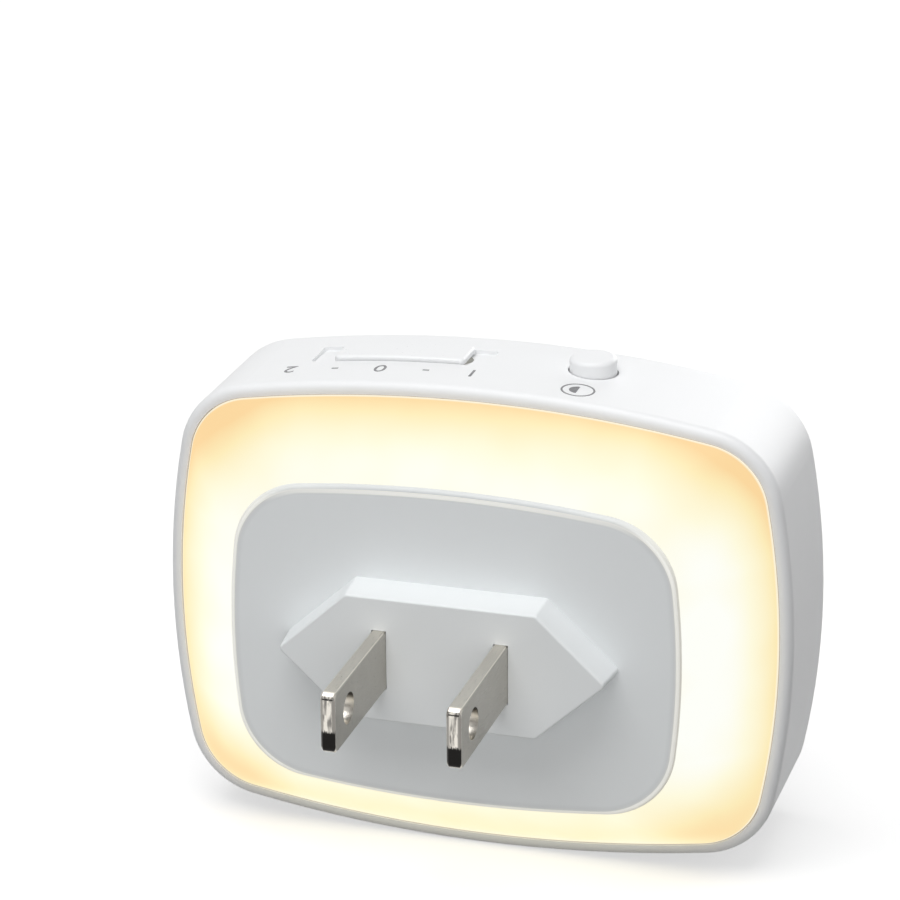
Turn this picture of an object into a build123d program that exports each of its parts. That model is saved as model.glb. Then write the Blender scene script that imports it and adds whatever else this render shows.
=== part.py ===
from build123d import *
import os
from math import asin, cos, radians, sin, sqrt, tan

# Plug in night light with a motion sensor, in millimetres.
# X runs to the right seen from the front, +Y runs into the wall and +Z up. The origin is the
# middle of the plug's flat face. A depth is a distance in front of that face: depth d is y = -d.

# --- Driving dimensions ---------------------------------------------------------------------

# Body outline, seen from the front: gently curved sides joined by tangent corner arcs
body_half_width = 33.3
body_half_height = 25.4
body_side_radius = 87.0
body_top_radius = 146.0
body_corner_radius = 8.5
body_outline = (body_half_width, body_half_height, body_side_radius, body_top_radius, body_corner_radius)

# How far a cut runs past the face that it opens, and how far a joined form reaches into its root
cut_over = 1.0
root = 1.0
tolerance = 0.01

# Front housing
front_depth = 28.5
housing_depth = 16.7
wall = 1.8
front_wall = 1.8
front_edge_radius = 1.5
rim_edge_radius = 1.0
inside_edge_radius = 0.8
rim_lip = 1.26
ring_seat_step = 2.4

# Rear panel, inside the body outline by the width of the glowing ring
ring_side_width = 9.6
ring_top_width = 8.25
panel_side_radius = 80.0
panel_top_radius = 138.0
panel_corner_radius = 8.0
panel_outline = (body_half_width - ring_side_width, body_half_height - ring_top_width,
                 panel_side_radius, panel_top_radius, panel_corner_radius)
panel_proud = 0.6
panel_wall = 1.8
panel_edge_radius = 0.45
panel_skirt_wall = 1.2
panel_gap = 0.1
panel_hook_spread = 11.0
panel_hook_width = 5.0

# Hexagonal plug boss: half-widths to its points and its flats, and half its height
plug_point = 17.15
plug_flat = 9.9
plug_half_height = 6.7
plug_boss_height = 4.1
plug_flare_width = 0.35
plug_corner_radius = 0.5
plug_edge_radius = 0.25
plug_face_wall = 1.8
plug_side_wall = 1.6

# Plug blades
blade_spacing = 12.7
blade_thickness = 1.5
blade_width = 6.35
blade_reach = 15.9
blade_tip_radius = 0.8
blade_tip_chamfer = 0.2
blade_hole_radius = 1.6
blade_hole_distance = 11.7
blade_shoulder_width = 9.0
blade_tail_width = 4.0
blade_tail_length = 3.8
blade_fit = 0.02

# Plate that holds the blades
holder_length = 30.0
holder_width = 10.0
holder_thickness = 2.0
holder_corner_radius = 3.0
holder_screw_x = 11.8
holder_post_radius = 1.9

# Translucent ring
ring_gap = 0.12
ring_sink = 0.1
ring_edge_radius = 0.25
ring_crown_height = 0.55
ring_wall_shift = 2.2
ring_flange_width = 2.4
ring_land = 0.8
collar_wall = 1.2
collar_length = 3.7
tab_spread = 14.0
tab_width = 7.0
tab_thickness = 1.0
tab_length = 2.6
tab_lead_in = 0.6
catch_height = 0.6
catch_length = 0.8
catch_gap = 0.15

# Motion sensor and its lens
dome_z = -0.9
dome_radius = 5.8
dome_gap = 0.2
dome_sphere_radius = 6.2
dome_wall = 0.6
dome_flange_radius = 7.2
dome_flange_thickness = 1.0
clamp_radius = 7.4
clamp_bore_radius = 5.3
clamp_thickness = 1.2
clamp_post_x = 8.8
clamp_post_radius = 0.8
clamp_post_fit = 0.05
clamp_ear_radius = 2.0
pir_base_radius = 4.6
pir_base_thickness = 0.6
pir_can_radius = 4.1
pir_height = 4.3
pir_window_width = 4.0
pir_window_height = 3.0
pir_window_recess = 0.3
pir_lead_circle = 2.54

# Light sensor behind two slots in the front face
eye_z = 15.1
eye_slot_height = 3.0
eye_slot_width = 0.85
eye_slot_spacing = 2.25
eye_radius = 1.5
eye_base_radius = 1.8
eye_base_thickness = 1.0
eye_height = 5.3
eye_lead_spacing = 2.54
shroud_radius = 3.1
shroud_bore_radius = 2.3
shroud_gap = 0.1

# Mode knob: a low bar in a shallow recess of the top wall. Its stem runs through a slot in the
# recess to a carriage inside. The places of the knob and the button are shares of the body's
# half-width.
knob_share = 0.3015
knob_offset = -0.3
knob_length = 14.0
knob_width = 4.4
knob_proud = 0.5
knob_gap = 0.3
knob_recess_depth = 0.4
knob_recess_play = 0.15
knob_end_play = 0.5
knob_corner_radius = 0.5
knob_edge_radius = 0.3
knob_stem_length = 10.4
knob_travel = 2.0
knob_slot_width = 2.6
knob_slot_play = 0.2
carriage_length = 20.0
carriage_width = 4.8
carriage_thickness = 1.0
carriage_gap = 0.55
leg_spread = 4.2
leg_length = 1.6
leg_width = 1.8
leg_reach = 1.3
leg_barb = 0.35
leg_play = 0.15
leg_hook_gap = 0.05
fork_finger = 1.2
fork_reach = 1.7
fork_play = 0.1

# Three-position slide switch
switch_length = 11.6
switch_height = 4.6
switch_thickness = 4.2
switch_gap = 0.7
switch_lid = 0.4
switch_cavity_height = 2.0
switch_side_wall = 0.7
switch_foot_length = 5.0
switch_foot_height = 1.6
switch_post = 2.0
switch_play = 0.15
switch_lead_pitch = 2.0
switch_lead_count = 4
switch_lead_drop = 3.4

# Button and the push switch under it
button_share = -0.3
button_radius = 2.45
button_proud = 1.6
button_edge_radius = 0.5
button_hole_gap = 0.15
button_flange_radius = 3.4
button_flange_thickness = 0.8
button_flange_gap = 0.45
button_stem_radius = 1.3
button_stem_length = 1.6
button_travel = 0.4
button_play = 0.05
tact_width = 6.0
tact_thickness = 4.3
tact_height = 4.6
tact_lid = 0.6
tact_chamber_radius = 1.65
plunger_radius = 1.2
plunger_foot_radius = 1.5
plunger_foot_height = 0.6
plunger_reach = 1.8
plunger_play = 0.1
plunger_spare = 0.2
tact_lead_pitch = 4.5

# Control board, behind the front face
board_side_gap = 0.3
board_end_inset = 5.6
board_thickness = 1.2
board_corner_radius = 1.5
board_front_space = 7.5
board_screw_inset = 2.4

# Ring-shaped board with the lamps
board_spacing = 2.5
led_board_thickness = 1.0
led_board_gap = 0.45
led_board_land = 2.0
led_board_opening_radius = 3.0
led_screw_inset = 7.6
led_size = (3.5, 2.8)
led_height = 0.8
led_lens_radius = 1.1
led_lens_recess = 0.1
led_row_inset = 7.1
led_row_pitch = 7.0
led_row_count = 6
led_column_inset = 7.8
led_column_pitch = 8.8
led_column_count = 4

# Bosses and screws
boss_radius = 2.1
boss_join = 0.6
rib_thickness = 1.0
rib_height = 8.0
screw_radius = 0.95
screw_fit = 0.05
screw_head_radius = 1.8
screw_head_height = 1.3
screw_length = 6.0
screw_hole_radius = 1.15
screw_socket_radius = 0.9
screw_socket_depth = 0.6
pilot_spare = 0.6

# Leads of the parts on the boards
lead_radius = 0.25
lead_hole_radius = 0.35
lead_poke = 0.8

# Parts on the back of the control board. The tall ones stand in the ring board's opening.
opening_margin = 0.9
tall_part_gap = 1.6
film_x = -6.0
film_size = (13.0, 5.4)
film_edge_radius = 0.8
film_lead_spacing = 10.0
smoothing_x = 8.2
smoothing_radius = 3.15
smoothing_groove = 0.25
smoothing_groove_place = 1.6
smoothing_edge_radius = 0.5
smoothing_lead_spacing = 2.5
bridge_x = 16.6
bridge_z = -9.0
bridge_size = (4.7, 3.9, 2.4)
bridge_leg_size = (0.7, 1.1, 0.25)
bridge_leg_pitch = 2.5
chip_x = 10.5
chip_z = 9.0
chip_size = (9.9, 3.9, 1.5)
chip_leg_size = (0.42, 1.05, 0.2)
chip_leg_pitch = 1.27
chip_leg_count = 8
chip_edge = 0.25
fuse_x = -12.5
fuse_z = 10.6
fuse_radius = 1.6
fuse_length = 8.0
fuse_lead_spacing = 11.0
bleed_x = -12.5
bleed_z = 5.6
bleed_radius = 1.15
bleed_length = 6.3
bleed_lead_spacing = 9.0
resistor_waist = 0.2
resistor_end_length = 1.4
resistor_edge_radius = 0.45
surface_part_size = (2.0, 1.25, 0.5)
surface_part_rows = ((-3.5, 10.8), (-3.5, 7.2), (16.0, -3.6), (16.0, 0.0), (-17.5, -6.0), (-17.5, -9.6))
surface_part_pitch = 2.6
link_inset = 2.3
link_pin_pitch = 2.54
link_pin_count = 4
link_block_width = 2.3
link_poke = 0.8

# Wires from the blades to the control board
wire_radius = 0.7
wire_end_x = 9.6
wire_end_z = 2.6
wire_start_gap = 0.1
wire_straight_share = 0.42
wire_bend_share = 0.45

# --- Levels and places that follow from them ------------------------------------------------

knob_x = knob_share * body_half_width
button_x = button_share * body_half_width
rim_depth = front_depth - housing_depth
panel_depth = plug_boss_height
ring_land_depth = panel_depth + panel_proud
panel_inner_depth = panel_depth + panel_wall
collar_end_depth = ring_land_depth + collar_length
ring_inset = rim_lip + ring_gap
ring_edge_depth = rim_depth + ring_sink
ring_seat_depth = rim_depth + ring_seat_step
inner_front_depth = front_depth - front_wall
board_front_depth = inner_front_depth - board_front_space
board_back_depth = board_front_depth - board_thickness
led_board_front_depth = board_back_depth - board_spacing
led_board_depth = led_board_front_depth - led_board_thickness
tall_part_height = board_back_depth - panel_inner_depth - tall_part_gap
button_depth = board_front_depth + tact_thickness / 2
knob_depth = board_front_depth + switch_thickness / 2 + knob_offset
tab_inset = wall + catch_height + catch_gap
tab_end_depth = ring_seat_depth + tab_length
catch_depth = ring_seat_depth + catch_length
led_board_inset = tab_inset + tab_thickness + led_board_gap
led_screw_x = body_half_width - led_screw_inset
led_screw_z = led_column_pitch
led_row_z = body_half_height - led_row_inset
led_column_x = body_half_width - led_column_inset
led_opening_half_width = led_column_x - led_size[0] / 2 - led_board_land
led_opening_half_height = led_row_z - led_size[1] / 2 - led_board_land
board_half_width = led_screw_x - boss_radius - board_side_gap
board_half_height = body_half_height - board_end_inset
board_screw_x = board_half_width - board_screw_inset
board_screw_z = board_half_height - board_screw_inset
film_z = film_size[1] / 2 + opening_margin - led_opening_half_height
smoothing_z = smoothing_radius + opening_margin - led_opening_half_height
link_z = link_inset - led_row_z
dome_hole_radius = dome_radius + dome_gap
dome_centre_depth = front_depth - sqrt(dome_sphere_radius ** 2 - dome_radius ** 2)
clamp_depth = inner_front_depth - dome_flange_thickness
switch_window_length = switch_post + 2 * (knob_travel + switch_play)
tact_chamber_height = plunger_play + plunger_foot_height + button_travel + plunger_spare
holder_depth = panel_inner_depth
knob_slot_length = knob_stem_length + 2 * (knob_travel + knob_slot_play)
knob_recess_length = knob_length + 2 * (knob_travel + knob_end_play)
knob_recess_width = knob_width + 2 * knob_recess_play
knob_slot_end = knob_x + knob_slot_length / 2


# --- Shared forms ---------------------------------------------------------------------------

def grown(size, amount):
    """The outline parallel to another one, outside it by an amount."""
    return tuple(value + amount for value in size)


def outline(size, grow=0.0):
    """Flat face with two pairs of curved sides and four corner arcs tangent to them."""
    half_width, half_height, side_radius, top_radius, corner_radius = grown(size, grow)
    side_centre = Vector(half_width - side_radius, 0)
    top_centre = Vector(0, half_height - top_radius)
    corner = circles_meet(side_centre, side_radius - corner_radius, top_centre, top_radius - corner_radius)
    to_side = (corner - side_centre).normalized()
    to_top = (corner - top_centre).normalized()
    side = side_centre + to_side * side_radius
    top = top_centre + to_top * top_radius
    middle = corner + (to_side + to_top).normalized() * corner_radius
    half = [(side.X, -side.Y), (half_width, 0), (side.X, side.Y), (middle.X, middle.Y), (top.X, top.Y),
            (0, half_height), (-top.X, top.Y), (-middle.X, middle.Y)]
    points = half + [(-x, -y) for x, y in half] + half[:1]
    return make_face([ThreePointArc(*points[k:k + 3]) for k in range(0, len(points) - 1, 2)])


def circles_meet(first, first_radius, second, second_radius):
    """The upper right meeting point of two circles."""
    between = second - first
    along = (first_radius ** 2 - second_radius ** 2 + between.length ** 2) / (2 * between.length)
    across = sqrt(first_radius ** 2 - along ** 2)
    direction = between.normalized()
    return first + direction * along + Vector(-direction.Y, direction.X) * across


def slab(face, near, far):
    """A face drawn as seen from the front, stretched between two depths."""
    return extrude(Plane.XZ.offset(near) * face, far - near, dir=(0, -1, 0))


def disc(x, z, radius, near, far):
    """A round bar along the depth."""
    return slab(Pos(x, z) * Circle(radius), near, far)


def block(x, z, width, height, near, far):
    """A rectangular bar along the depth."""
    return slab(Pos(x, z) * Rectangle(width, height), near, far)


def column(face, low, high):
    """A face drawn as seen from above, stretched between two heights."""
    return extrude(Plane.XY.offset(low) * face, high - low, dir=(0, 0, 1))


def hoop(size, outer, inner):
    """Flat hoop between two insets of an outline."""
    return outline(size, -outer) - outline(size, -inner)


def top_height(x, grow=0.0):
    """Height of the curved top surface at x, or of a surface parallel to it."""
    radius = body_top_radius + grow
    return body_half_height - body_top_radius + sqrt(radius ** 2 - x ** 2)


def under_top(face, low, high):
    """A face drawn as seen from above, kept between two surfaces parallel to the curved top."""
    shell = slab(outline(body_outline, high) - outline(body_outline, low), rim_depth, front_depth)
    return shell & column(face, 0, body_half_height + high + cut_over)


def windows(spread, width):
    """Flat windows where a hoop keeps its tabs: two on each long side, one on each short side."""
    reach = body_half_height
    places = [Pos(x, z) * Rectangle(width, reach) for x in (-spread, spread) for z in (-reach, reach)]
    places += [Pos(x, 0) * Rectangle(reach, width) for x in (-body_half_width, body_half_width)]
    return Sketch() + places


def turned(edges, x, z):
    """A closed profile of radius and -depth, turned about an axis along the depth."""
    return Pos(x, 0, z) * revolve(make_face(edges), Axis.Y)


def cap_arc(radius, edge_radius, centre_depth):
    """Profile arc of a spherical cap from its top to its edge."""
    edge_angle = asin(edge_radius / radius)
    points = [(radius * sin(a), -centre_depth - radius * cos(a)) for a in (0, edge_angle / 2, edge_angle)]
    return ThreePointArc(*points)


def screw(x, z, seat_depth, length=screw_length):
    """Pan head screw driven towards the front, with a round driver socket."""
    head = disc(x, z, screw_head_radius, seat_depth - screw_head_height, seat_depth)
    head = fillet(head.faces().sort_by(Axis.Y)[-1].edges(), screw_head_height / 2)
    head -= disc(x, z, screw_socket_radius, seat_depth - screw_head_height, seat_depth - screw_socket_depth)
    return head + disc(x, z, screw_radius, seat_depth, seat_depth + length)


def pilot(x, z, mouth_depth, length):
    """Hole for a screw that enters a boss."""
    return disc(x, z, screw_radius + screw_fit, mouth_depth, mouth_depth + length + pilot_spare)


def four_corners(x, z):
    """The four places mirrored about the middle."""
    return [(sx * x, sz * z) for sx in (-1, 1) for sz in (-1, 1)]


def row(x, z, pitch, count):
    """Places in a level row about a middle."""
    return [(x + pitch * (k - (count - 1) / 2), z) for k in range(count)]


def leads(places, near, far):
    """Round leads between two depths."""
    return [disc(x, z, lead_radius, near, far) for x, z in places]


def front_leads(places):
    """Leads of a part on the front of the control board."""
    return leads(places, board_back_depth - lead_poke, board_front_depth)


def back_leads(places):
    """Leads of a part on the back of the control board."""
    return leads(places, board_back_depth, board_front_depth + lead_poke)


# --- Heights under the curved top, and places of the screws and leads -----------------------

carriage_bottom = -wall - carriage_gap - carriage_thickness
button_flange_top_z = top_height(button_x, -wall) - button_flange_gap
button_flange_bottom_z = button_flange_top_z - button_flange_thickness
switch_top_z = top_height(knob_x, carriage_bottom) - fork_reach - switch_gap
tact_top_z = button_flange_bottom_z - button_stem_length - button_play - plunger_reach
board_screw_places = four_corners(board_screw_x, board_screw_z)
led_screw_places = four_corners(led_screw_x, led_screw_z)
pir_leads = [(pir_lead_circle, dome_z), (-pir_lead_circle, dome_z), (0, dome_z - pir_lead_circle)]
eye_leads = row(0, eye_z, eye_lead_spacing, 2)
switch_leads = row(knob_x, switch_top_z - switch_lead_drop, switch_lead_pitch, switch_lead_count)
tact_leads = row(button_x, tact_top_z - tact_height / 2, tact_lead_pitch, 2)
film_leads = row(film_x, film_z, film_lead_spacing, 2)
smoothing_leads = row(smoothing_x, smoothing_z, smoothing_lead_spacing, 2)
fuse_leads = row(fuse_x, fuse_z, fuse_lead_spacing, 2)
bleed_leads = row(bleed_x, bleed_z, bleed_lead_spacing, 2)
link_pins = row(0, link_z, link_pin_pitch, link_pin_count)
lead_groups = (pir_leads, eye_leads, switch_leads, tact_leads, film_leads, smoothing_leads, fuse_leads,
               bleed_leads, link_pins)


# --- Casing ---------------------------------------------------------------------------------

def front_housing():
    """White shell: front face, four curved walls, rim, screw bosses and catches."""
    shell = slab(outline(body_outline), rim_depth, front_depth)
    shell = fillet(shell.faces().sort_by(Axis.Y)[0].edges(), front_edge_radius)
    shell = fillet(shell.faces().sort_by(Axis.Y)[-1].edges(), rim_edge_radius)
    hollow = slab(outline(body_outline, -wall), rim_depth, inner_front_depth)
    shell -= fillet(hollow.faces().sort_by(Axis.Y)[0].edges(), inside_edge_radius)
    shell -= slab(outline(body_outline, -rim_lip), rim_depth, ring_seat_depth)
    shell += slab(hoop(body_outline, wall / 2, wall + catch_height) & windows(tab_spread, tab_width),
                  catch_depth - catch_length, catch_depth)
    shell += housing_bosses()
    shell -= housing_openings()
    return shell


def housing_bosses():
    """Screw bosses for both boards, ribs to the side walls and stakes for the lens clamp."""
    foot = inner_front_depth + boss_join
    forms = [disc(x, z, boss_radius, board_front_depth, foot) for x, z in board_screw_places]
    forms += [disc(x, z, boss_radius, led_board_front_depth, foot) for x, z in led_screw_places]
    rib_length = body_half_width - wall - led_screw_x
    for x, z in four_corners(led_screw_x + rib_length / 2, led_screw_z):
        forms.append(block(x, z, rib_length, rib_thickness, inner_front_depth - rib_height, foot))
    for x in (-clamp_post_x, clamp_post_x):
        forms.append(disc(x, dome_z, clamp_post_radius, clamp_depth - clamp_thickness, foot))
    return forms


def housing_openings():
    """Pilot holes, dome hole, light slots, knob recess and slot, and button hole."""
    forms = [pilot(x, z, board_front_depth, screw_length - board_thickness) for x, z in board_screw_places]
    forms += [pilot(x, z, led_board_front_depth, screw_length - led_board_thickness)
              for x, z in led_screw_places]
    forms.append(disc(0, dome_z, dome_hole_radius, inner_front_depth - cut_over, front_depth + cut_over))
    slot = Rot(0, 0, 90) * SlotOverall(eye_slot_height, eye_slot_width)
    for x, z in row(0, eye_z, eye_slot_spacing, 2):
        forms.append(slab(Pos(x, z) * slot, inner_front_depth - cut_over, front_depth + cut_over))
    above = body_half_height + cut_over
    below = top_height(knob_slot_end, -wall) - cut_over
    knob_place = Pos(knob_x, -knob_depth)
    knob_recess = RectangleRounded(knob_recess_length, knob_recess_width, knob_corner_radius)
    forms.append(under_top(knob_place * knob_recess, -knob_recess_depth, cut_over))
    forms.append(column(knob_place * SlotOverall(knob_slot_length, knob_slot_width), below, above))
    button_hole = Pos(button_x, -button_depth) * Circle(button_radius + button_hole_gap)
    forms.append(column(button_hole, below, above))
    return forms


def ring_slope():
    """Sloping form from the ring's outer edge to the panel's edge, slightly crowned."""
    outer = grown(body_outline, -ring_inset)
    middle = tuple((a + b) / 2 for a, b in zip(outer, panel_outline))
    middle_depth = (ring_edge_depth + ring_land_depth) / 2
    sections = [Plane.XZ.offset(ring_edge_depth) * outline(outer)]
    sections.append(Plane.XZ.offset(middle_depth) * outline(middle, ring_crown_height))
    sections.append(Plane.XZ.offset(ring_land_depth) * outline(panel_outline))
    return loft(sections)


def diffuser_ring():
    """Translucent ring with a seat in the rim, a collar round the panel and six snap tabs."""
    slope = ring_slope()
    rim = outline(body_outline, -ring_inset)
    ring = slope + slab(rim, ring_edge_depth, ring_seat_depth)
    edge = [e for e in ring.edges() if abs(e.center().Y + ring_edge_depth) < tolerance]
    ring = fillet(edge, ring_edge_radius)
    hollow = Pos(0, -ring_wall_shift, 0) * slope
    hollow += slab(rim, ring_edge_depth + ring_wall_shift, ring_seat_depth + cut_over)
    inside_flange = outline(body_outline, -ring_inset - ring_flange_width)
    ring -= hollow & slab(inside_flange, 0, ring_seat_depth + cut_over)
    ring -= slab(outline(panel_outline, -ring_land), 0, front_depth)
    collar_start = ring_land_depth + ring_wall_shift / 2
    ring += slab(hoop(panel_outline, ring_land, ring_land - collar_wall), collar_start, collar_end_depth)
    return ring + ring_tabs()


def ring_tabs():
    """Snap tabs whose barbs lie in front of the housing's catches."""
    places = windows(tab_spread, tab_width)
    tabs = slab(hoop(body_outline, tab_inset, tab_inset + tab_thickness) & places,
                ring_seat_depth - root, tab_end_depth)
    barb_depth = catch_depth + catch_gap
    tabs += slab(hoop(body_outline, wall + catch_gap, tab_inset + tab_thickness) & places,
                 barb_depth, tab_end_depth)
    lead_in = slab(outline(body_outline, -wall), rim_depth, tab_end_depth - tab_lead_in)
    wide = Plane.XZ.offset(tab_end_depth - tab_lead_in) * outline(body_outline, -wall - catch_gap)
    narrow = Plane.XZ.offset(tab_end_depth) * outline(body_outline, -wall - catch_gap - tab_lead_in)
    lead_in += loft([wide, narrow])
    return tabs & lead_in


def hexagon(grow=0.0):
    """Face of the plug boss, or one parallel to it, with its corners eased."""
    points = [(-plug_point, 0), (-plug_flat, -plug_half_height), (plug_flat, -plug_half_height),
              (plug_point, 0), (plug_flat, plug_half_height), (-plug_flat, plug_half_height)]
    shape = make_face(Polyline(*points, close=True))
    if grow:
        shape = offset(shape, grow, kind=Kind.INTERSECTION)
    return fillet(shape.vertices(), plug_corner_radius)


def rear_panel():
    """White panel with a rounded edge, a hollow hexagonal plug boss and a clipped skirt."""
    plate = slab(outline(panel_outline), panel_depth, ring_land_depth)
    plate = fillet(plate.faces().sort_by(Axis.Y)[-1].edges(), panel_edge_radius)
    skirt_inset = ring_land + panel_gap
    plate += slab(outline(panel_outline, -skirt_inset), ring_land_depth, panel_inner_depth)
    foot = Plane.XZ.offset(panel_depth + panel_proud) * hexagon(plug_flare_width)
    boss = loft([Plane.XZ * hexagon(), foot])
    plate += fillet(boss.faces().sort_by(Axis.Y)[-1].edges(), plug_edge_radius)
    plate += slab(hoop(panel_outline, skirt_inset, skirt_inset + panel_skirt_wall),
                  panel_inner_depth, collar_end_depth)
    plate += panel_hooks(skirt_inset)
    plate -= slab(hexagon(-plug_side_wall), plug_face_wall, panel_inner_depth)
    for x in (-holder_screw_x, holder_screw_x):
        plate += disc(x, 0, holder_post_radius, plug_face_wall / 2, panel_inner_depth)
        plate -= disc(x, 0, screw_radius + screw_fit, plug_face_wall, panel_inner_depth)
    for x in (-blade_spacing / 2, blade_spacing / 2):
        plate -= block(x, 0, blade_thickness + 2 * blade_fit, blade_width + 2 * blade_fit,
                       -cut_over, plug_face_wall + cut_over)
    return plate


def panel_hooks(skirt_inset):
    """Barbed ends of the skirt that catch under the ring's collar."""
    places = windows(panel_hook_spread, panel_hook_width)
    barb_start = collar_end_depth + panel_gap
    barb_end = barb_start + catch_length
    reach = hoop(panel_outline, skirt_inset, skirt_inset + panel_skirt_wall) & places
    barb = hoop(panel_outline, skirt_inset - catch_height, skirt_inset + panel_skirt_wall) & places
    return [slab(reach, collar_end_depth, barb_end), slab(barb, barb_start, barb_end)]


# --- Plug -----------------------------------------------------------------------------------

def blade(x):
    """Flat blade: rounded tip with a hole, shoulders inside the boss and a tail for the wire."""
    reach = Pos((blade_reach - plug_face_wall) / 2, 0) * Rectangle(blade_reach + plug_face_wall, blade_width)
    reach = fillet(reach.vertices().group_by(Axis.X)[-1], blade_tip_radius)
    shoulder_length = holder_depth - plug_face_wall
    shoulder_middle = -plug_face_wall - shoulder_length / 2
    shoulder = Pos(shoulder_middle, 0) * Rectangle(shoulder_length, blade_shoulder_width)
    tail_length = holder_thickness + blade_tail_length
    tail = Pos(-holder_depth - tail_length / 2, 0) * Rectangle(tail_length, blade_tail_width)
    profile = reach + shoulder + tail - Pos(blade_hole_distance, 0) * Circle(blade_hole_radius)
    body = extrude(Plane.YZ * profile, blade_thickness / 2, both=True)
    tip = [e for e in body.edges() if e.center().Y > blade_reach - blade_tip_radius]
    edges = [e for e in tip if abs(abs(e.center().X) - blade_thickness / 2) < tolerance]
    return Pos(x, 0, 0) * chamfer(edges, blade_tip_chamfer)


def blade_holder():
    """Plate that traps the blades' shoulders in the boss."""
    face = RectangleRounded(holder_length, holder_width, holder_corner_radius)
    for x in (-blade_spacing / 2, blade_spacing / 2):
        face -= Pos(x, 0) * Rectangle(blade_thickness + 2 * blade_fit, blade_tail_width + 2 * blade_fit)
    for x in (-holder_screw_x, holder_screw_x):
        face -= Pos(x, 0) * Circle(screw_hole_radius)
    return slab(face, holder_depth, holder_depth + holder_thickness)


def holder_screws():
    """Two screws driven from inside towards the wall."""
    seat = holder_depth + holder_thickness
    length = seat - plug_face_wall - pilot_spare
    screws = []
    for x in (-holder_screw_x, holder_screw_x):
        head = disc(x, 0, screw_head_radius, seat, seat + screw_head_height)
        head = fillet(head.faces().sort_by(Axis.Y)[0].edges(), screw_head_height / 2)
        head -= disc(x, 0, screw_socket_radius, seat + screw_socket_depth, seat + screw_head_height)
        screws.append(head + disc(x, 0, screw_radius, seat - length, seat))
    return Compound(children=screws)


def wire(side):
    """Insulated wire from a blade's tail to the control board."""
    start_depth = holder_depth + holder_thickness + blade_tail_length + wire_start_gap
    start = Vector(side * blade_spacing / 2, -start_depth, 0)
    end = Vector(side * wire_end_x, -board_back_depth, wire_end_z)
    straight = wire_straight_share * (board_back_depth - start_depth)
    bend_in = start - Vector(0, straight, 0)
    bend_out = end + Vector(0, straight, 0)
    middle_run = (bend_out - bend_in).length
    half_turn = radians((bend_out - bend_in).get_angle(Vector(0, -1, 0))) / 2
    radius = wire_bend_share * min(straight, middle_run) / tan(half_turn)
    path = FilletPolyline(start, bend_in, bend_out, end, radius=radius)
    return sweep(Plane(origin=start, z_dir=(0, -1, 0)) * Circle(wire_radius), path=path)


# --- Sensors --------------------------------------------------------------------------------

def pir_lens():
    """Thin milky dome with a flange behind the front face."""
    flange_back = inner_front_depth - dome_flange_thickness
    inner_radius = dome_radius - dome_wall
    outer = cap_arc(dome_sphere_radius, dome_radius, dome_centre_depth)
    inner = cap_arc(dome_sphere_radius - dome_wall, inner_radius, dome_centre_depth)
    steps = Polyline(outer @ 1, (dome_radius, -inner_front_depth), (dome_flange_radius, -inner_front_depth),
                     (dome_flange_radius, -flange_back), (inner_radius, -flange_back), inner @ 1)
    return turned([outer, steps, inner, Line(inner @ 0, outer @ 0)], 0, dome_z)


def lens_clamp():
    """Ring with two ears, staked behind the dome's flange."""
    face = Circle(clamp_radius)
    for x in (-clamp_post_x, clamp_post_x):
        face += Pos(x, 0) * Circle(clamp_ear_radius)
    face -= Circle(clamp_bore_radius)
    for x in (-clamp_post_x, clamp_post_x):
        face -= Pos(x, 0) * Circle(clamp_post_radius + clamp_post_fit)
    return slab(Pos(0, dome_z) * face, clamp_depth - clamp_thickness, clamp_depth)


def pir_sensor():
    """Metal can with a recessed window and three leads."""
    can = disc(0, dome_z, pir_base_radius, board_front_depth, board_front_depth + pir_base_thickness)
    top = board_front_depth + pir_height
    can += disc(0, dome_z, pir_can_radius, board_front_depth, top)
    can -= block(0, dome_z, pir_window_width, pir_window_height, top - pir_window_recess, top)
    return can + front_leads(pir_leads)


def light_sensor():
    """Clear round-topped light sensor on two leads."""
    top = board_front_depth + eye_height
    dome_start = top - eye_radius
    eye = disc(0, eye_z, eye_base_radius, board_front_depth, board_front_depth + eye_base_thickness)
    eye += disc(0, eye_z, eye_radius, board_front_depth, dome_start)
    inside = Polyline((eye_radius, -dome_start), (0, -dome_start), (0, -top))
    eye += turned([cap_arc(eye_radius, eye_radius, dome_start), inside], 0, eye_z)
    return eye + front_leads(eye_leads)


def light_shroud():
    """Black tube from the board to the front face, round the light sensor."""
    face = Pos(0, eye_z) * (Circle(shroud_radius) - Circle(shroud_bore_radius))
    return slab(face, board_front_depth, inner_front_depth - shroud_gap)


# --- Mode knob and slide switch -------------------------------------------------------------

def mode_knob():
    """Low bar in the top wall's recess, with a stem through the slot and two snap legs."""
    place = Pos(knob_x, -knob_depth)
    cap_bottom = knob_gap - knob_recess_depth
    cap = under_top(place * RectangleRounded(knob_length, knob_width, knob_corner_radius),
                    cap_bottom, knob_proud)
    crown = cap.faces().sort_by(SortBy.AREA)[-2:].sort_by(Axis.Z)[-1]
    cap = fillet(crown.edges(), knob_edge_radius)
    stem_face = place * SlotOverall(knob_stem_length, knob_slot_width - 2 * knob_slot_play)
    stem_end = carriage_bottom + carriage_thickness
    leg_end = carriage_bottom - leg_reach
    knob = cap + under_top(stem_face, stem_end, (cap_bottom + knob_proud) / 2)
    for side in (-1, 1):
        leg = Pos(knob_x + side * leg_spread, -knob_depth)
        knob += under_top(leg * Rectangle(leg_length, leg_width), leg_end, stem_end + root)
        barb = Pos(knob_x + side * (leg_spread + leg_barb / 2), -knob_depth)
        barb_face = Rectangle(leg_length + leg_barb, leg_width)
        knob += under_top(barb * barb_face, leg_end, carriage_bottom - leg_hook_gap)
    return knob


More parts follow.
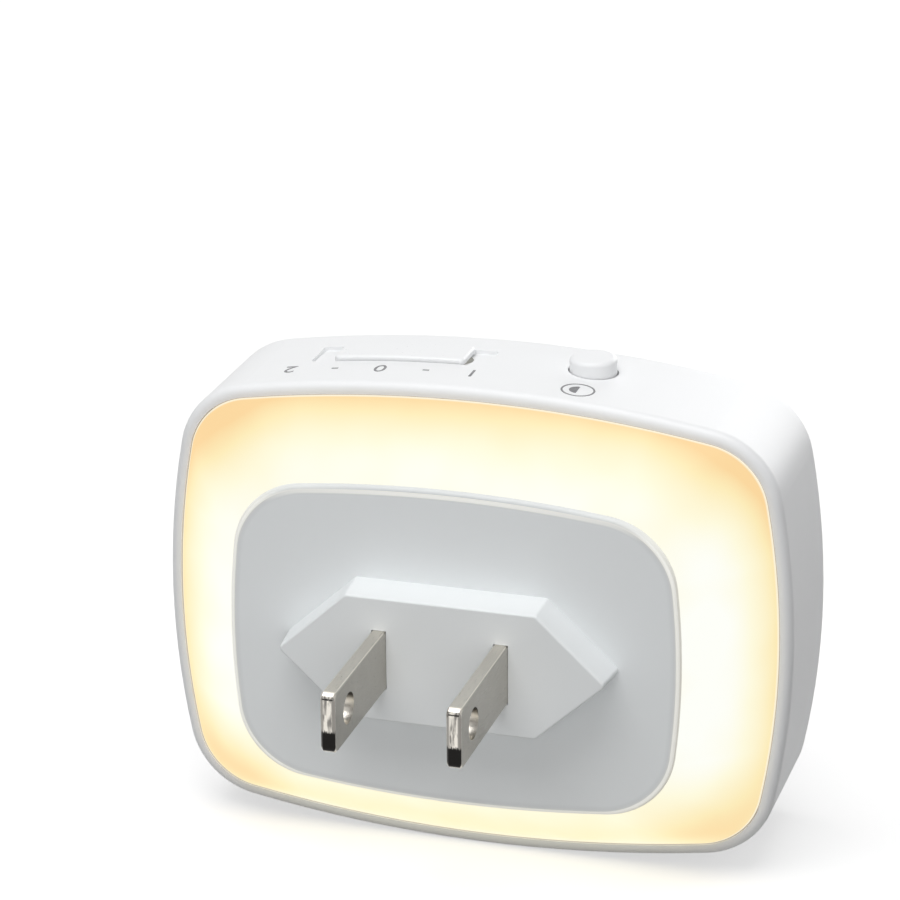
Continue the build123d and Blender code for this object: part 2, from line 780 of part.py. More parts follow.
def knob_carriage():
    """Plate under the slot that the knob clips into, with a fork round the switch's post."""
    face = RectangleRounded(carriage_length, carriage_width, knob_corner_radius)
    for side in (-1, 1):
        hole = Rectangle(leg_length + 2 * leg_play, leg_width + 2 * leg_play)
        face -= Pos(side * leg_spread, 0) * hole
    plate_top = carriage_bottom + carriage_thickness
    carriage = under_top(Pos(knob_x, -knob_depth) * face, carriage_bottom, plate_top)
    for side in (-1, 1):
        finger_x = knob_x + side * (switch_post / 2 + fork_play + fork_finger / 2)
        finger = Pos(finger_x, -knob_depth) * Rectangle(fork_finger, carriage_width / 2)
        carriage += under_top(finger, carriage_bottom - fork_reach, plate_top - carriage_thickness / 2)
    return carriage


def mode_switch():
    """Body of the slide switch, with a cavity for its slider and four leads."""
    middle_depth = board_front_depth + switch_thickness / 2
    base = Pos(knob_x, -middle_depth)
    outside = base * Rectangle(switch_length, switch_thickness)
    body = column(outside, switch_top_z - switch_height, switch_top_z)
    cavity_top = switch_top_z - switch_lid
    inside = Rectangle(switch_length - 2 * switch_side_wall, switch_thickness - 2 * switch_side_wall)
    body -= column(base * inside, cavity_top - switch_cavity_height, cavity_top)
    window = Rectangle(switch_window_length, switch_post + 2 * switch_play)
    body -= column(Pos(knob_x, -knob_depth) * window, cavity_top - cut_over, switch_top_z + cut_over)
    return body + front_leads(switch_leads)


def mode_switch_slider():
    """Moving part of the slide switch: foot inside, post outside."""
    cavity_top = switch_top_z - switch_lid
    foot_top = cavity_top - switch_play
    middle_depth = board_front_depth + switch_thickness / 2
    foot_width = switch_thickness - 2 * (switch_side_wall + switch_play)
    foot = column(Pos(knob_x, -middle_depth) * Rectangle(switch_foot_length, foot_width),
                  foot_top - switch_foot_height, foot_top)
    post_top = top_height(knob_x, carriage_bottom) - 2 * fork_play
    post = Pos(knob_x, -knob_depth) * Rectangle(switch_post, switch_post)
    return foot + column(post, foot_top - switch_foot_height, post_top)


# --- Button and push switch -----------------------------------------------------------------

def button_cap():
    """Round button with a flange inside the top wall and a stem to the push switch."""
    place = Pos(button_x, -button_depth)
    top = top_height(button_x) + button_proud
    cap = column(place * Circle(button_radius), button_flange_bottom_z, top)
    cap = fillet(cap.faces().sort_by(Axis.Z)[-1].edges(), button_edge_radius)
    cap += column(place * Circle(button_flange_radius), button_flange_bottom_z, button_flange_top_z)
    stem_end = button_flange_bottom_z - button_stem_length
    return cap + column(place * Circle(button_stem_radius), stem_end, button_flange_top_z)


def tact_switch():
    """Body of the push switch, with a stepped hole for its plunger and two leads."""
    middle_depth = board_front_depth + tact_thickness / 2
    body = column(Pos(button_x, -middle_depth) * Rectangle(tact_width, tact_thickness),
                  tact_top_z - tact_height, tact_top_z)
    place = Pos(button_x, -button_depth)
    chamber_top = tact_top_z - tact_lid
    body -= column(place * Circle(tact_chamber_radius), chamber_top - tact_chamber_height, chamber_top)
    neck = place * Circle(plunger_radius + plunger_play)
    body -= column(neck, chamber_top - cut_over, tact_top_z + cut_over)
    return body + front_leads(tact_leads)


def tact_plunger():
    """Plunger with a foot that keeps it in the switch."""
    place = Pos(button_x, -button_depth)
    foot_top = tact_top_z - tact_lid - plunger_play
    foot_bottom = foot_top - plunger_foot_height
    plunger = column(place * Circle(plunger_foot_radius), foot_bottom, foot_top)
    return plunger + column(place * Circle(plunger_radius), foot_bottom, tact_top_z + plunger_reach)


# --- Boards ---------------------------------------------------------------------------------

def control_board():
    """Main board with screw holes and lead holes."""
    face = RectangleRounded(2 * board_half_width, 2 * board_half_height, board_corner_radius)
    face -= [Pos(x, z) * Circle(screw_hole_radius) for x, z in board_screw_places]
    for group in lead_groups:
        face -= [Pos(x, z) * Circle(lead_hole_radius) for x, z in group]
    return slab(face, board_back_depth, board_front_depth)


def led_board():
    """Ring-shaped board inside the snap tabs."""
    face = outline(body_outline, -led_board_inset)
    opening = (2 * led_opening_half_width, 2 * led_opening_half_height)
    face -= RectangleRounded(*opening, led_board_opening_radius)
    face -= [Pos(x, z) * Circle(screw_hole_radius) for x, z in led_screw_places]
    face -= [Pos(x, z) * Circle(lead_hole_radius) for x, z in link_pins]
    return slab(face, led_board_depth, led_board_front_depth)


def led_places():
    """Middle of each lamp: rows above and below, columns at the sides."""
    places = []
    for z in (-led_row_z, led_row_z):
        places += row(0, z, led_row_pitch, led_row_count)
    for x in (-led_column_x, led_column_x):
        places += [(x, z) for z, _ in row(0, 0, led_column_pitch, led_column_count)]
    return places


def leds():
    """Lamps on the wall side of the ring board, each with a shallow round window."""
    lamps = []
    top = led_board_depth - led_height
    for x, z in led_places():
        lamp = block(x, z, *led_size, top, led_board_depth)
        lamp -= disc(x, z, led_lens_radius, top, top + led_lens_recess)
        lamps.append(lamp)
    return Compound(children=lamps)


def board_link():
    """Pin header that joins the two boards."""
    length = link_pin_pitch * link_pin_count
    header = block(0, link_z, length, link_block_width, led_board_front_depth, board_back_depth)
    return header + leads(link_pins, led_board_depth - link_poke, board_front_depth + link_poke)


def board_screws():
    """Four screws of the control board."""
    return Compound(children=[screw(x, z, board_back_depth) for x, z in board_screw_places])


def led_board_screws():
    """Four screws of the ring board."""
    return Compound(children=[screw(x, z, led_board_depth) for x, z in led_screw_places])


# --- Parts on the back of the control board -------------------------------------------------

def film_capacitor():
    """Box-shaped film capacitor that drops the mains voltage."""
    body = block(film_x, film_z, *film_size, board_back_depth - tall_part_height, board_back_depth)
    body = fillet(body.edges().filter_by(Axis.Y), film_edge_radius)
    return body + back_leads(film_leads)


def smoothing_capacitor():
    """Upright can with a rolled groove near its foot."""
    x, z = smoothing_x, smoothing_z
    can = disc(x, z, smoothing_radius, board_back_depth - tall_part_height, board_back_depth)
    can = fillet(can.faces().sort_by(Axis.Y)[-1].edges(), smoothing_edge_radius)
    groove_depth = board_back_depth - smoothing_groove_place
    groove = Pos(x, -groove_depth, z) * Rot(90, 0, 0) * Torus(smoothing_radius, smoothing_groove)
    return can - groove + back_leads(smoothing_leads)


def flat_chip(x, z, size, leg_size, leg_pitch, leg_count):
    """Moulded body with a row of flat legs on each long side."""
    width, height, tall = size
    leg_width, leg_reach_out, leg_thickness = leg_size
    body = block(x, z, width, height, board_back_depth - tall, board_back_depth - leg_thickness / 2)
    body = chamfer(body.faces().sort_by(Axis.Y)[-1].edges(), chip_edge)
    leg_height = height + 2 * leg_reach_out
    for leg_x, leg_z in row(x, z, leg_pitch, leg_count):
        body += block(leg_x, leg_z, leg_width, leg_height, board_back_depth - leg_thickness, board_back_depth)
    return body


def axial_resistor(x, z, radius, length, places):
    """Resistor lying along the board with bulged ends and leads bent into the board."""
    axis_depth = board_back_depth - radius
    lie = Pos(x, -axis_depth, z) * Rot(0, 90, 0)
    body = lie * Cylinder(radius - resistor_waist, length)
    for side in (-1, 1):
        end_place = lie * Pos(0, 0, side * (length - resistor_end_length) / 2)
        end = end_place * Cylinder(radius, resistor_end_length)
        body += fillet(end.edges().filter_by(GeomType.CIRCLE), resistor_edge_radius)
    body += lie * Cylinder(lead_radius, places[1][0] - places[0][0])
    elbows = [Pos(lead_x, -axis_depth, lead_z) * Sphere(lead_radius) for lead_x, lead_z in places]
    return body + elbows + leads(places, axis_depth, board_front_depth + lead_poke)


def surface_parts():
    """Pairs of chip resistors and capacitors."""
    width, height, tall = surface_part_size
    parts = []
    for x, z in surface_part_rows:
        for part_x, part_z in row(x, z, surface_part_pitch, 2):
            parts.append(block(part_x, part_z, width, height, board_back_depth - tall, board_back_depth))
    return Compound(children=parts)


# --- Files ----------------------------------------------------------------------------------

nodes = {
    "front_housing": front_housing(),
    "diffuser_ring": diffuser_ring(),
    "rear_panel": rear_panel(),
    "blade_left": blade(-blade_spacing / 2),
    "blade_right": blade(blade_spacing / 2),
    "blade_holder": blade_holder(),
    "holder_screws": holder_screws(),
    "live_wire": wire(1),
    "neutral_wire": wire(-1),
    "pir_lens": pir_lens(),
    "lens_clamp": lens_clamp(),
    "pir_sensor": pir_sensor(),
    "light_sensor": light_sensor(),
    "light_shroud": light_shroud(),
    "mode_knob": mode_knob(),
    "knob_carriage": knob_carriage(),
    "mode_switch": mode_switch(),
    "mode_switch_slider": mode_switch_slider(),
    "button_cap": button_cap(),
    "tact_switch": tact_switch(),
    "tact_plunger": tact_plunger(),
    "control_board": control_board(),
    "led_board": led_board(),
    "leds": leds(),
    "board_link": board_link(),
    "board_screws": board_screws(),
    "led_board_screws": led_board_screws(),
    "film_capacitor": film_capacitor(),
    "smoothing_capacitor": smoothing_capacitor(),
    "bridge_rectifier": flat_chip(bridge_x, bridge_z, bridge_size, bridge_leg_size, bridge_leg_pitch, 2),
    "control_chip": flat_chip(chip_x, chip_z, chip_size, chip_leg_size, chip_leg_pitch, chip_leg_count),
    "fuse_resistor": axial_resistor(fuse_x, fuse_z, fuse_radius, fuse_length, fuse_leads),
    "bleed_resistor": axial_resistor(bleed_x, bleed_z, bleed_radius, bleed_length, bleed_leads),
    "surface_parts": surface_parts(),
}

os.makedirs("parts", exist_ok=True)
for name, shape in nodes.items():
    export_step(shape, f"parts/{name}.step")
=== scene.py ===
from math import cos, radians, sin

import bmesh
import bpy
from bpy.props import FloatProperty, FloatVectorProperty, IntProperty, PointerProperty, StringProperty
from mathutils import Matrix, Vector
from mathutils.bvhtree import BVHTree


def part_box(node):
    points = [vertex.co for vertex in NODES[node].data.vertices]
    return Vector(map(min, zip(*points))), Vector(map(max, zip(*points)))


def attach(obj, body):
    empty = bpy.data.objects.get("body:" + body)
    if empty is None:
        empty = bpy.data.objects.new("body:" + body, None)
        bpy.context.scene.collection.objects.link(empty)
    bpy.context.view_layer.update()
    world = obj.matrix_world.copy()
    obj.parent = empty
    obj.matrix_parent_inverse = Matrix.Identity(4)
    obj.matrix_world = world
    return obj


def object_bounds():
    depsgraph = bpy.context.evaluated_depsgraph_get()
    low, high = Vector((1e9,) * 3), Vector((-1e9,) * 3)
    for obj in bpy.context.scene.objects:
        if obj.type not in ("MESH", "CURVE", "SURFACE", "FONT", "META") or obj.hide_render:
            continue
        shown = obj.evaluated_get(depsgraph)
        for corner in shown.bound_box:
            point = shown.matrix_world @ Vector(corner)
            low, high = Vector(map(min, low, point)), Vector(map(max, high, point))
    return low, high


bl_info = {
    "name": "Plug-in night light",
    "version": (1, 0, 0),
    "blender": (4, 5, 0),
    "location": "View3D > Sidebar > Night light",
    "description": "Finishes, lens, printed marks and studio of a plug-in night light",
    "category": "Object",
}

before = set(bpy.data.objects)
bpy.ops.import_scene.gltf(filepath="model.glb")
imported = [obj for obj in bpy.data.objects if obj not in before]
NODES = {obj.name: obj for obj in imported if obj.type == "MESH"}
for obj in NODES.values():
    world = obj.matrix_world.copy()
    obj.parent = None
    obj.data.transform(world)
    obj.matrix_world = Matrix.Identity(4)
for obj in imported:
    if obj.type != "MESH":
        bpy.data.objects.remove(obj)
CAD_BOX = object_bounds()
MM = 0.001


# --- Sizes read from the frame ----------------------------------------------------------------

RING_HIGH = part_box("diffuser_ring")[1]
LENS_LOW, LENS_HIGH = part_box("pir_lens")
KNOB_LOW, KNOB_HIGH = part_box("mode_knob")
BUTTON_LOW, BUTTON_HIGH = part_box("button_cap")
BLADE_LOW, BLADE_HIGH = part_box("blade_left")
LAMPS_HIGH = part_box("leds")[1]
LENS_CENTRE = (LENS_LOW + LENS_HIGH) / 2
KNOB_CENTRE = (KNOB_LOW + KNOB_HIGH) / 2
BUTTON_CENTRE = (BUTTON_LOW + BUTTON_HIGH) / 2
BLADE_MIDDLE = abs(BLADE_LOW.x + BLADE_HIGH.x) / 2
BLADE_HALF = (BLADE_HIGH.x - BLADE_LOW.x) / 2


# --- Sizes repeated from the solids -----------------------------------------------------------

PANEL_HALF = (23.7 * MM, 17.15 * MM)  # half the width and half the height of the panel's outline
PANEL_RADII = (80 * MM, 138 * MM)  # radii of its two sides, and of its top and bottom
PANEL_CORNER = 8 * MM
PANEL_LEAN = 0.23
RING_DROP = 7.2 * MM
RING_EDGE = RING_HIGH.y - RING_DROP
LAMP_ROW_Z = LAMPS_HIGH.z - 1.4 * MM
LAMP_COLUMN_X = LAMPS_HIGH.x - 1.75 * MM
LAMP_ROW_PITCH = 7.0 * MM
LAMP_COLUMN_PITCH = 8.8 * MM
BLADE_TOP = 3.175 * MM
BLADE_HOLE = BLADE_HIGH.y - 4.2 * MM
HOLE_RADIUS = 1.6 * MM


# --- Sizes of the patterns --------------------------------------------------------------------

# Distances from the middle at which a part of the ring begins and is reached in full.
RING_SIDE = (18 * MM, 28 * MM)
RING_TALL = (10 * MM, 20 * MM)
RING_HALF = (10 * MM, 28 * MM)
LAMP_SPREAD = 4.5 * MM
EULER = 2.718
# Distances below the blade's top (painted edge highlight, painted light on the top face), before its end
# (painted reflection on the tip, and its gloss) and inside its sides (painted dark reflection at the tip's
# rim), each from nought to full.
EDGE_HIGHLIGHT = (0.14 * MM, 0.06 * MM)
TOP_LIGHT = (0.03 * MM, 0.01 * MM)
TIP_GLOSS = (0.4 * MM, 0.2 * MM)
TIP_REFLECTION = (0.22 * MM, 0.16 * MM)
TIP_RIM_REFLECTION = (0.4 * MM, 0.24 * MM)
NOISE_BAND = (0.3, 0.7)  # nearly all the values of a noise lie in it
CLOUD_SIZE = 9 * MM
CLOUD_SHARES = (0.985, 1.015)
CAPITAL = 0.69  # height of a capital letter of size one
RAY_START = 10 * MM
CIRCLE_SEGMENTS = 48
BLOB_SEGMENTS = 32
BLOB_SHARE = 0.52


# --- Colours ----------------------------------------------------------------------------------

def tone(red, green, blue):
    """Linear colour of three 8-bit screen values."""
    return tuple(((v / 255 + 0.055) / 1.055) ** 2.4 if v > 10 else v / 3295 for v in (red, green, blue))


def opaque(value):
    """A colour with an alpha of one. A node's output stays as it is."""
    return value if isinstance(value, bpy.types.NodeSocket) else (*value[:3], 1.0)


def shaded(value, share):
    """A colour made darker or lighter by a share."""
    return tuple(min(1.0, v * share) for v in value[:3])


# --- Settings a user would change -------------------------------------------------------------

def colour(name, description, default):
    return FloatVectorProperty(name=name, description=description, subtype="COLOR", size=3, min=0, max=1,
                               default=default)


def length(name, description, default):
    return FloatProperty(name=name, description=description, default=default, unit="LENGTH", precision=5)


class NightLightColours(bpy.types.PropertyGroup):
    shell: colour("Shell", "White of the front housing, knob and button", tone(242, 243, 244))
    panel: colour("Panel", "White of the rear panel and plug boss", tone(236, 239, 240))
    # Painted light: the ring's cream light on the panel's edge, also the painted glow of the white pieces
    # inside.
    painted_cream_light: colour("Panel edge", "Rounded edge of the panel, lit by the ring", tone(246, 240, 222))
    # Painted shade of the gap by the ring, and the painted warm light on the panel's flat by its edge.
    painted_tan_light_and_shade: colour("Panel line", "Thin tan line between the ring and the lit edge", tone(214, 204, 178))
    glow_bright: colour("Bright glow", "Ring beside the panel", tone(254, 255, 249))
    glow_middle: colour("Middle glow", "Ring half way out", tone(254, 250, 222))
    glow_edge: colour("Edge glow", "Ring near its outer edge", tone(252, 235, 184))
    glow_corner: colour("Corner glow", "Ring in its corners, far from any lamp", tone(250, 214, 156))
    glow_line: colour("Lit line", "Thin lit line at the ring's outer edge", tone(255, 247, 224))
    # Painted shade: the ring dims deep in the gap beside the rim.
    glow_painted_gap_shade: colour("Gap glow", "Ring deep in the gap beside the rim", tone(186, 172, 150))
    nickel: colour("Nickel", "Plating of the blades", tone(184, 180, 172))
    # Painted reflection of a dark surround low on the polished tips, and painted shade in the top of the
    # blade holes.
    painted_shade_and_reflection: colour("Dark nickel", "Lower part of the polished blade tips", tone(34, 33, 32))
    lens: colour("Lens", "Milky plastic of the sensor dome", tone(214, 214, 213))
    ink: colour("Ink", "Printed marks on the top", tone(124, 124, 126))


class NightLightMarks(bpy.types.PropertyGroup):
    positions: StringProperty(name="Positions", description="Plain numbers beside the knob", default="1-0-2")
    height: length("Height", "Height of a number", 1.95 * MM)
    pitch: length("Pitch", "Distance between neighbouring marks", 4.9 * MM)
    inset: length("Inset", "From the knob's middle to the row of numbers, towards the wall", 4.7 * MM)
    shift: length("Shift", "From the knob's middle to the row's middle, along the knob", 1.15 * MM)
    ring_radius: length("Ring radius", "Radius of the round mark by the button", 1.75 * MM)
    ring_inset: length("Ring inset", "From the button's middle to the round mark", 6.0 * MM)
    ring_line: length("Ring line", "Width of the round mark's line", 0.2 * MM)
    film: length("Ink film", "How far the ink stands above the surface", 0.02 * MM)


class NightLightStage(bpy.types.PropertyGroup):
    azimuth: FloatProperty(name="Azimuth", description="Camera azimuth", default=radians(197.28),
                           subtype="ANGLE")
    elevation: FloatProperty(name="Elevation", description="Camera elevation", default=radians(20.8),
                             subtype="ANGLE")
    roll: FloatProperty(name="Roll", description="Camera roll", default=radians(-0.43), subtype="ANGLE")
    distance: length("Distance", "Camera distance", 363.9 * MM)
    lens: FloatProperty(name="Lens", description="Focal length on a 36 mm sensor", default=145.93)
    image_size: IntProperty(name="Image size", description="Side of the square picture", default=900)
    origin_u: FloatProperty(name="Origin U", description="Pixel column of the plug's middle", default=439.4)
    origin_v: FloatProperty(name="Origin V", description="Pixel row of the plug's middle", default=667.2)
    key_power: FloatProperty(name="Key power", description="Power of the overhead softbox, in watts",
                             default=2.55)
    front_power: FloatProperty(name="Front power", description="Power of the softbox by the camera, in watts",
                               default=1.95)
    back_power: FloatProperty(name="Back power", description="Power of the softbox on the dome's side",
                              default=3.0)
    fill: FloatProperty(name="Fill", description="Brightness of the surrounding room", default=0.25)
    floor_grey: FloatProperty(name="Floor grey", description="Share of the light that the floor returns",
                              default=0.32)
    floor_seen: FloatProperty(name="Floor seen", description="The same share for the camera, with the shadow",
                              default=0.6)
    floor_lift: FloatProperty(name="Floor lift", description="Brightness added to the floor for the camera",
                              default=0.56)
    floor_far: FloatProperty(name="Far floor", description="Brightness added far from the light",
                             default=0.17)


# --- Node trees -------------------------------------------------------------------------------

class Tree:
    """A node tree with short calls for the nodes that a material or the room needs."""

    def __init__(self, tree):
        self.tree = tree

    def feed(self, socket, value):
        """Links a node's output to an input, or sets the input to a plain value."""
        if isinstance(value, bpy.types.NodeSocket):
            self.tree.links.new(value, socket)
        else:
            socket.default_value = value

    def node(self, kind, values=(), **settings):
        """A new node, with its settings, and its inputs set or linked by name or number."""
        made = self.tree.nodes.new(kind)
        for key, value in settings.items():
            setattr(made, key, value)
        for key, value in dict(values).items():
            self.feed(made.inputs[key], value)
        return made

    def sum(self, operation, first, second=0.0, third=0.0):
        """One step of arithmetic."""
        return self.node("ShaderNodeMath", {0: first, 1: second, 2: third}, operation=operation).outputs[0]

    def between(self, value, low, high, to_low=0.0, to_high=1.0):
        """A value brought from one range to another and held inside it."""
        return self.node("ShaderNodeMapRange", {0: value, 1: low, 2: high, 3: to_low, 4: to_high}).outputs[0]

    def near(self, value, end, band, to_high=1.0):
        """Rises from nought to full between a band's two distances before an end."""
        return self.between(value, end - band[0], end - band[1], 0.0, to_high)

    def seen_by(self, first, *others):
        """One for the kinds of ray that are named, nought for the rest."""
        path = self.node("ShaderNodeLightPath").outputs
        seen = path[first]
        for ray in others:
            seen = self.sum("MAXIMUM", seen, path[ray])
        return seen


class Finish(Tree):
    """A material in the making, with short calls for the nodes that its pattern needs."""

    def __init__(self, name, roughness=0.4, metallic=0.0):
        self.material = bpy.data.materials.new(name)
        self.material.use_nodes = True
        super().__init__(self.material.node_tree)
        self.shader = self.tree.nodes["Principled BSDF"]
        self.set("Roughness", roughness)
        self.set("Metallic", metallic)
        self.place = self.node("ShaderNodeTexCoord").outputs["Object"]

    def set(self, name, value):
        """Sets or links one input of the shader."""
        self.feed(self.shader.inputs[name], value)

    def weighted(self, start, *terms):
        """A start value plus terms, each a weight and the values that it multiplies."""
        total = start
        for weight, *factors in terms:
            product = weight
            for factor in factors:
                product = self.sum("MULTIPLY", product, factor)
            total = self.sum("ADD", total, product)
        return total

    def stretched(self, scale, centre=(0, 0, 0)):
        """Object coordinates about a centre, scaled."""
        moved = self.node("ShaderNodeVectorMath", {0: self.place, 1: centre}, operation="SUBTRACT")
        return self.node("ShaderNodeMapping", {0: moved.outputs[0], 3: scale}).outputs[0]

    def noise(self, size, detail=3.0, stretch=(1, 1, 1)):
        """Noise whose grains are about size metres across, longer where stretch is below one."""
        scale = tuple(s / size for s in stretch)
        return self.node("ShaderNodeTexNoise", {"Vector": self.stretched(scale), "Scale": 1.0,
                                                "Detail": detail}).outputs[0]

    def blend(self, factor, low, high):
        """A colour between two colours."""
        mix = self.node("ShaderNodeMix", {0: factor}, data_type="RGBA")
        self.feed(mix.inputs[6], opaque(low))
        self.feed(mix.inputs[7], opaque(high))
        return mix.outputs[2]

    def ramp(self, factor, stops):
        """A colour ramp with a list of (place, colour)."""
        made = self.node("ShaderNodeValToRGB", {0: factor})
        band = made.color_ramp
        while len(band.elements) < len(stops):
            band.elements.new(1.0)
        for element, (place, value) in zip(band.elements, stops):
            element.position = place
            element.color = opaque(value)
        return made.outputs[0]

    def split(self):
        """The three Object coordinates."""
        return self.node("ShaderNodeSeparateXYZ", {0: self.place}).outputs

    def depth_inside(self, half, radii, corner, lean):
        """Depth inside an upright outline of four shallow arcs and rounded corners.

        Lean is the cosine of the angle between the two arcs' normals at a corner.
        """
        x, _, z = self.split()
        past = []
        for along, across, extent, radius in ((x, z, half[0], radii[0]), (z, x, half[1], radii[1])):
            place = self.node("ShaderNodeCombineXYZ", {0: self.sum("ABSOLUTE", along), 1: across}).outputs[0]
            apart = self.node("ShaderNodeVectorMath", {0: place, 1: (extent - radius, 0, 0)},
                              operation="DISTANCE").outputs["Value"]
            past.append(self.sum("ADD", apart, corner - radius))
        more, less = self.sum("MAXIMUM", *past), self.sum("MINIMUM", *past)
        aside = self.sum("MAXIMUM", self.weighted(less, (-lean, more)), 0.0)
        square = self.weighted(0.0, (1.0, more, more), (1 / (1 - lean * lean), aside, aside))
        reach = self.weighted(more, (1.0, self.sum("SQRT", square)), (-1.0, self.sum("ABSOLUTE", more)))
        return self.sum("SUBTRACT", corner, reach)

    def relief(self, height, depth):
        """Bump of a depth in metres."""
        bump = self.node("ShaderNodeBump", {"Height": height, "Distance": depth, "Strength": 1.0})
        self.set("Normal", bump.outputs[0])

    def give(self, *names):
        """Puts the finish on CAD nodes."""
        for name in names:
            for place in NODES[name].material_slots:
                place.material = self.material
        return self.material


def moulded(name, base, roughness=0.38, grain=0.22 * MM, depth=0.004 * MM):
    """Moulded plastic: faint cloudy tone, spark-eroded grain and a slightly uneven gloss."""
    finish = Finish(name, roughness)
    cloud = finish.noise(CLOUD_SIZE, detail=2.0)
    finish.tone = finish.blend(cloud, *(shaded(base, share) for share in CLOUD_SHARES))
    finish.set("Base Color", finish.tone)
    texture = finish.noise(grain, detail=4.0)
    finish.set("Roughness", finish.between(texture, *NOISE_BAND, roughness - 0.05, roughness + 0.07))
    finish.set("Specular IOR Level", 0.42)
    finish.relief(texture, depth)
    return finish


# --- New meshes -------------------------------------------------------------------------------

def in_scene(name, data):
    """Makes an object of a mesh, light, camera or text, and puts it in the scene."""
    made = bpy.data.objects.new(name, data)
    bpy.context.scene.collection.objects.link(made)
    return made


def meshed(name, bm, material):
    """Makes a finished bmesh an object with one material."""
    mesh = bpy.data.meshes.new(name)
    bm.to_mesh(mesh)
    bm.free()
    mesh.materials.append(material)
    return in_scene(name, mesh)


def piece(name, bm, material, body):
    """Makes a finished bmesh a smooth object that rides on a CAD body."""
    bmesh.ops.recalc_face_normals(bm, faces=bm.faces)
    made = meshed(name, bm, material)
    made.data.shade_smooth()
    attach(made, body)
    return made


def surface_of(node):
    """Search tree of a CAD node's mesh."""
    mesh = NODES[node].data
    mesh.calc_loop_triangles()
    return BVHTree.FromPolygons([v.co.copy() for v in mesh.vertices],
                                [tuple(t.vertices) for t in mesh.loop_triangles])


def laid_on_top(bm, film):
    """Drops a flat drawing onto the shell's top, and gives it the thickness of an ink film."""
    tree = surface_of("front_housing")
    start = CAD_BOX[1].z + RAY_START
    for vert in bm.verts:
        hit = tree.ray_cast(Vector((vert.co.x, vert.co.y, start)), Vector((0, 0, -1)))
        vert.co = hit[0] - Vector((0, 0, film))
    made = bmesh.ops.extrude_face_region(bm, geom=bm.faces[:])
    for vert in (g for g in made["geom"] if isinstance(g, bmesh.types.BMVert)):
        vert.co.z += 2 * film


def letter(bm, text, height, place):
    """Adds one printed character, with its middle at a place."""
    curve = bpy.data.curves.new("character", "FONT")
    curve.body = text
    curve.resolution_u = 6
    holder = in_scene("character", curve)
    bpy.context.view_layer.update()
    mesh = bpy.data.meshes.new_from_object(holder.evaluated_get(bpy.context.evaluated_depsgraph_get()))
    low = Vector([min(v.co[k] for v in mesh.vertices) for k in range(3)])
    high = Vector([max(v.co[k] for v in mesh.vertices) for k in range(3)])
    scale = Matrix.Scale(height / CAPITAL, 4)
    mesh.transform(Matrix.Translation(place) @ scale @ Matrix.Translation(-(low + high) / 2))
    bm.from_mesh(mesh)
    bpy.data.objects.remove(holder)
    bpy.data.meshes.remove(mesh)


# --- Operators --------------------------------------------------------------------------------

class NIGHTLIGHT_OT_shell(bpy.types.Operator):
    """Finishes the moulded white shell, its knob and its button"""
    bl_idname = "nightlight.shell"
    bl_label = "Shell, knob and button"

    def execute(self, context):
        base = context.scene.night_light_colours.shell
        moulded("shell_white", base).give("front_housing")
        moulded("knob_white", base, 0.32, 0.3 * MM, 0.002 * MM).give("mode_knob")
        moulded("button_white", base, 0.34, 0.3 * MM, 0.002 * MM).give("button_cap")
        return {"FINISHED"}


class NIGHTLIGHT_OT_panel(bpy.types.Operator):
    """Finishes the rear panel and its plug boss, with painted ring light on the panel's edge, and the white
    pieces inside, which get a painted glow
    """
    bl_idname = "nightlight.panel"
    bl_label = "Rear panel"

    def execute(self, context):
        colours = context.scene.night_light_colours
        panel = moulded("panel_white", colours.panel, 0.42)
        self.painted_edge_light(panel, colours)
        panel.give("rear_panel")
        # Painted glow: the white pieces inside glow faintly, as if lit by the lamps.
        inside = moulded("inner_white_painted_glow", colours.panel, 0.46)
        inside.set("Emission Color", opaque(colours.painted_cream_light))
        inside.set("Emission Strength", 0.32)
        inside.give("blade_holder", "lens_clamp", "knob_carriage")
        return {"FINISHED"}

    def painted_edge_light(self, panel, colours):
        """Cream light of the ring painted on the panel's rounded edge, behind a thin tan line of painted
        shade.
        """
        depth = panel.depth_inside(PANEL_HALF, PANEL_RADII, PANEL_CORNER, PANEL_LEAN)
        line, cream, dark = colours.painted_tan_light_and_shade, colours.painted_cream_light, (0, 0, 0)
        # Painted warm light of the ring on the flat beside the edge, which also darkens it a little.
        warm = panel.between(depth, 0.4 * MM, 1.1 * MM, 0.14, 0.0)
        panel.set("Base Color", panel.blend(warm, panel.tone, shaded(line, 0.1)))
        place = panel.between(depth, 0.0, 1.2 * MM)
        # Painted light in the emission: a tan line of painted shade next to the ring, then a cream band of
        # the ring's light.
        upright = panel.ramp(place, ((0.06, shaded(line, 0.3)), (0.1, shaded(cream, 0.34)),
                                     (0.34, shaded(cream, 0.34)), (0.42, shaded(line, 0.08)), (0.6, dark)))
        level = panel.ramp(place, ((0.1, shaded(line, 0.02)), (0.3, dark), (0.36, shaded(cream, 0.3)),
                                   (0.64, shaded(cream, 0.34)), (0.78, dark)))
        # The top edge, which faces up, gets its own ramp of painted light.
        high = panel.between(panel.split()[2], 14 * MM, 16.6 * MM)
        panel.set("Emission Color", panel.blend(high, upright, level))
        panel.set("Emission Strength", 1.0)


def lamps_of_a_quarter():
    """Places of the lamps behind one quarter of the ring and of the first ones past its ends."""
    places = [(LAMP_ROW_PITCH * (k - 0.5), LAMP_ROW_Z) for k in range(4)]
    return places + [(LAMP_COLUMN_X, LAMP_COLUMN_PITCH * (k - 0.5)) for k in range(3)]


